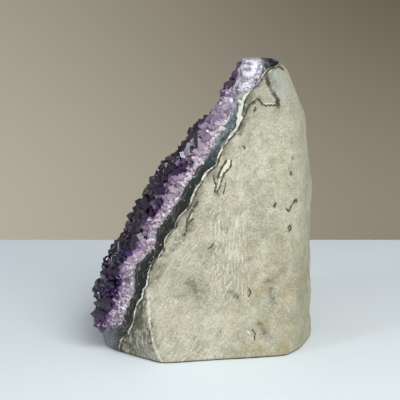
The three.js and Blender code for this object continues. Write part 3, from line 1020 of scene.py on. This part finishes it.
def open_face():
    """Where the deep amethyst stands: all of the open face but a strip near the top.

    Low down it is tucked in, because the foot facets cut the rock's front corners off.
    """
    z = np.linspace(CROP_BOTTOM, CROP_TOP, 150)
    tuck = np.clip((TUCK_BELOW - z) * TUCK_SLOPE, 0, MOST_TUCK)
    left_for_pale = 8 * ease(z, 108, 124) + 9 * ease(z, 124, 132)
    near = along(FACES["near side"][1], z) - EDGE_MARGIN - tuck - left_for_pale
    far = -along(FACES["far side"][1], z) + EDGE_MARGIN + tuck
    return bed_patch("open face", z, near, far)


def near_strip():
    """Where pale crystals stand, along the near edge of the upper face."""
    z = np.linspace(STRIP_BOTTOM, STRIP_TOP, 46)
    near = along(FACES["near side"][1], z) - STRIP_MARGIN
    width = 1 + 10 * ease(z, 104, 120) + 9 * ease(z, 122, 132)
    return bed_patch("near strip", z, near, near - width)


SIDEWAYS, UPWARDS = 0.45, 0.8     # a face's normal past either of these is on a ground side


def section_surface(bed, nearest, furthest, lowest, highest, foot_reach=0):
    """The quartz bed's ground sides, between two distances from the agate and two heights.

    Low down the further distance grows by foot_reach.
    """
    piece = copy_of(bed, "bed section")
    mesh = bmesh.new()
    mesh.from_mesh(piece.data)
    centres = np.array([face.calc_center_median() / MM for face in mesh.faces])
    normals = np.array([face.normal for face in mesh.faces])
    x, y, z = centres.T
    out = (agate_front(x, z) - y) * math.cos(FACE_LEAN)
    on_side = (np.abs(normals[:, 0]) > SIDEWAYS) | (normals[:, 2] > UPWARDS)
    furthest = furthest + foot_reach * ease(-z, -32, -18)
    wanted = on_side & (out > nearest) & (out < furthest) & (z > lowest) & (z < highest)
    wanted = wanted & (y > bed_front(x, z))
    unwanted = [face for face, keep in zip(mesh.faces, wanted) if not keep]
    bmesh.ops.delete(mesh, geom=unwanted, context="FACES")
    mesh.to_mesh(piece.data)
    mesh.free()
    note(piece, "vigour", np.ones(len(piece.data.vertices)))
    return piece


# ---------------------------------------------------------------- building the geode
def dress(piece, finish, slot, *replaced):
    """Gives a finished piece its material and its place in the frame."""
    piece.data.materials.clear()
    piece.data.materials.append(finish)
    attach(piece, BODY)
    if replaced:
        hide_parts(*replaced)


BED_OFFSET = 7                    # the quartz bed is cut from a skin this much longer in front


def build_rock():
    """The basalt, the vein, the agate and the quartz bed, cut from the skin. Gives the bed."""
    skin = rock_skin("rock skin")
    basalt_tool = front_block("basalt tool", basalt_front)
    vein_tool = front_block("vein tool", vein_front)
    agate_tool = front_block("agate tool", agate_front)

    basalt = carve(copy_of(skin, "basalt"), basalt_tool, "DIFFERENCE", "basalt_body")
    vein = carve(copy_of(skin, "vein"), basalt_tool, "INTERSECT", "vein block")
    vein = carve(vein, vein_tool, "DIFFERENCE", "cream_vein")
    agate = carve(copy_of(skin, "agate"), vein_tool, "INTERSECT", "agate block")
    agate = carve(agate, agate_tool, "DIFFERENCE", "agate_rim")

    wide_skin = rock_skin("wide skin", front_offset=BED_OFFSET)
    bed_tool = front_block("bed tool", bed_front, step_x=1.5, step_z=1.0)
    bed = carve(wide_skin, agate_tool, "INTERSECT", "bed block")
    bed = carve(bed, bed_tool, "DIFFERENCE", "quartz_bed")
    discard(skin, basalt_tool, vein_tool, agate_tool, bed_tool)

    for piece in (basalt, vein, agate, bed):
        note_layers(piece)
        piece.data.shade_smooth()
    dress(basalt, basalt_finish(), "basalt", "basalt_matrix")
    dress(vein, vein_finish(), "agate")
    dress(agate, agate_finish(), "agate", "agate_band")
    dress(bed, quartz_finish(), "amethyst")
    return bed


# Each crop: its spacing, its smallest and largest radius, how far its crystals lean in degrees,
# how far they turn from the surface's own way to the leaning face's, and its seed.
CROPS = {
    "big crystals": (5.2, 2.1, 3.5, 28, 0.3, 3),
    "small crystals": (3.0, 1.4, 2.2, 34, 0.3, 8),
    "flank crystals": (2.9, 1.3, 2.4, 30, 0.45, 15),
    "strip crystals": (3.8, 2.0, 3.2, 32, 0.3, 5),
    "quartz_grains": (1.5, 0.55, 1.4, 36, 0.4, 23),
}
FACE_WAY = Vector((0, -math.cos(FACE_LEAN), math.sin(FACE_LEAN)))


def build_crystals(bed):
    """The deep crop, the pale one and the fine grains. The pale crop gives way to the deep one."""
    growth = Growth()
    stout = crystal_kinds("stout crystals", 1.0)
    slim = crystal_kinds("slim crystals", 1.4)
    deep = amethyst_finish()
    pale = pale_amethyst_finish()
    grain = grain_finish()
    face = open_face()
    strip = near_strip()
    flank = section_surface(bed, nearest=4.4, furthest=20, lowest=22, highest=126)
    rim = section_surface(bed, nearest=0.4, furthest=5.6, lowest=2, highest=153, foot_reach=12)

    def grow(name, surface, kinds, finish):
        spacing, smallest, largest, lean, way_share, seed = CROPS[name]
        return growth.crop(name, surface, kinds=kinds, finish=finish, way=FACE_WAY,
                           way_share=way_share, spacing=spacing * MM, smallest=smallest * MM,
                           largest=largest * MM, tilt=math.radians(lean), seed=seed)

    crop = grow("big crystals", face, stout, deep)
    between = grow("small crystals", face, stout, deep)
    beside = grow("flank crystals", flank, stout, pale)
    above = grow("strip crystals", strip, stout, pale)
    grains = grow("quartz_grains", rim, slim, grain)
    crop = carve(crop, between, "UNION", "amethyst_crystals")
    beside = carve(beside, above, "UNION", "pale crop")
    beside = carve(beside, crop, "DIFFERENCE", "pale_crystals")
    discard(face, strip, flank, rim, between, above)
    for piece in (crop, beside, grains):
        note_layers(piece)
        piece.data.shade_flat()
    dress(crop, deep, "amethyst", "amethyst_druse")
    dress(beside, pale, "amethyst")
    dress(grains, grain, "amethyst")


# ---------------------------------------------------------------- stage, light and camera
CAMERA_TURN = math.radians(88)
CAMERA_RISE = math.radians(12)
CAMERA_AWAY = 0.62
CAMERA_AIM = Vector((0.010, 0, 0.082))
CAMERA_LENS, CAMERA_SENSOR = 100, 36

# The table reaches this far behind the rock, in front of it and to each side, in metres.
TABLE_BEHIND, TABLE_FRONT, TABLE_SIDE = 0.226, 1.6, 1.4
WALL_X, WALL_SIDE, WALL_LOW, WALL_HIGH = -1.3, 3, -2, 2.5

# Each lamp's place, its width, its power in watts and its colour.
LAMPS = {
    "window": ((0.86, 0.47, 1.0), 0.85, 14, (1.0, 0.985, 0.96)),
    "left fill": ((0.8, -1.2, 0.75), 0.35, 5, (0.84, 0.91, 1.0)),
}
LAMP_AIM = Vector((0, 0, 0.08))    # half way up the rock
ROOM_COLOUR, ROOM_STRENGTH = (0.80, 0.86, 0.95, 1), 0.55


def facing(start, aim):
    """The turn that points a camera or a lamp at its aim."""
    return (aim - start).to_track_quat("-Z", "Y").to_euler()


def set_camera():
    camera = bpy.data.objects.new("camera", bpy.data.cameras.new("camera"))
    camera.data.lens = CAMERA_LENS
    camera.data.sensor_width = CAMERA_SENSOR
    level = math.cos(CAMERA_RISE) * CAMERA_AWAY
    rise = math.sin(CAMERA_RISE) * CAMERA_AWAY
    away = Vector((math.sin(CAMERA_TURN) * level, -math.cos(CAMERA_TURN) * level, rise))
    camera.location = CAMERA_AIM + away
    camera.rotation_euler = facing(camera.location, CAMERA_AIM)
    bpy.context.scene.collection.objects.link(camera)
    bpy.context.scene.camera = camera


def stage_plane(name, corners, finish):
    plane = mesh_object(name, np.array(corners) / MM, [[0, 1, 2, 3]])
    plane.data.materials.append(finish)


def floor_finish():
    f = Finish("pale floor")
    spot = f.add("ShaderNodeTexCoord", out="Object")
    # Painted shade: darker away from the camera, and darker and bluer towards -Y, where the light falls
    # off.
    colour = f.mix(f.part(spot, "X").rise(0.15, -0.25), paint(232, 240, 242), paint(220, 229, 232))
    colour = f.mix(f.part(spot, "Y").rise(0.0, -0.3) * 0.5, colour, paint(210, 222, 230))
    f.surface(Base_Color=colour, Roughness=0.55, Specular_IOR_Level=0.25)
    return f.material


def wall_finish():
    f = Finish("warm grey wall")
    spot = f.add("ShaderNodeTexCoord", out="Object")
    # The wall glows; its colour is painted light, brightest low on the left and darker to the right and
    # higher up.
    across = f.part(spot, "Y").rise(-0.5, 0.5)
    up = f.part(spot, "Z").rise(-0.25, 0.35)
    left = f.mix(up, paint(182, 177, 160), paint(158, 152, 140))
    right = f.mix(up, paint(140, 132, 117), paint(86, 75, 60))
    colour = f.mix(across, left, right)
    f.output(Surface=f.add("ShaderNodeEmission", None, {"Color": colour, "Strength": 1.0}))
    return f.material


def set_stage():
    towards = Vector((math.sin(CAMERA_TURN), -math.cos(CAMERA_TURN), 0))
    across = Vector((math.cos(CAMERA_TURN), math.sin(CAMERA_TURN), 0)) * TABLE_SIDE
    back, front = towards * -TABLE_BEHIND, towards * TABLE_FRONT
    table = [back - across, front - across, front + across, back + across]
    stage_plane("floor", table, floor_finish())
    wall = [(WALL_X, -WALL_SIDE, WALL_LOW), (WALL_X, WALL_SIDE, WALL_LOW),
            (WALL_X, WALL_SIDE, WALL_HIGH), (WALL_X, -WALL_SIDE, WALL_HIGH)]
    stage_plane("wall", wall, wall_finish())


def set_light():
    for name, (place, width, power, colour) in LAMPS.items():
        light = bpy.data.lights.new(name, "AREA")
        light.shape = "SQUARE"
        light.size = width
        light.energy = power
        light.color = colour
        lamp = bpy.data.objects.new(name, light)
        lamp.location = place
        lamp.rotation_euler = facing(Vector(place), LAMP_AIM)
        bpy.context.scene.collection.objects.link(lamp)
    world = bpy.data.worlds.new("room")
    world.use_nodes = True
    background = world.node_tree.nodes["Background"]
    background.inputs["Color"].default_value = ROOM_COLOUR
    background.inputs["Strength"].default_value = ROOM_STRENGTH
    bpy.context.scene.world = world
    bpy.context.scene.view_settings.view_transform = "Standard"


set_camera()
set_stage()
set_light()
build_crystals(build_rock())
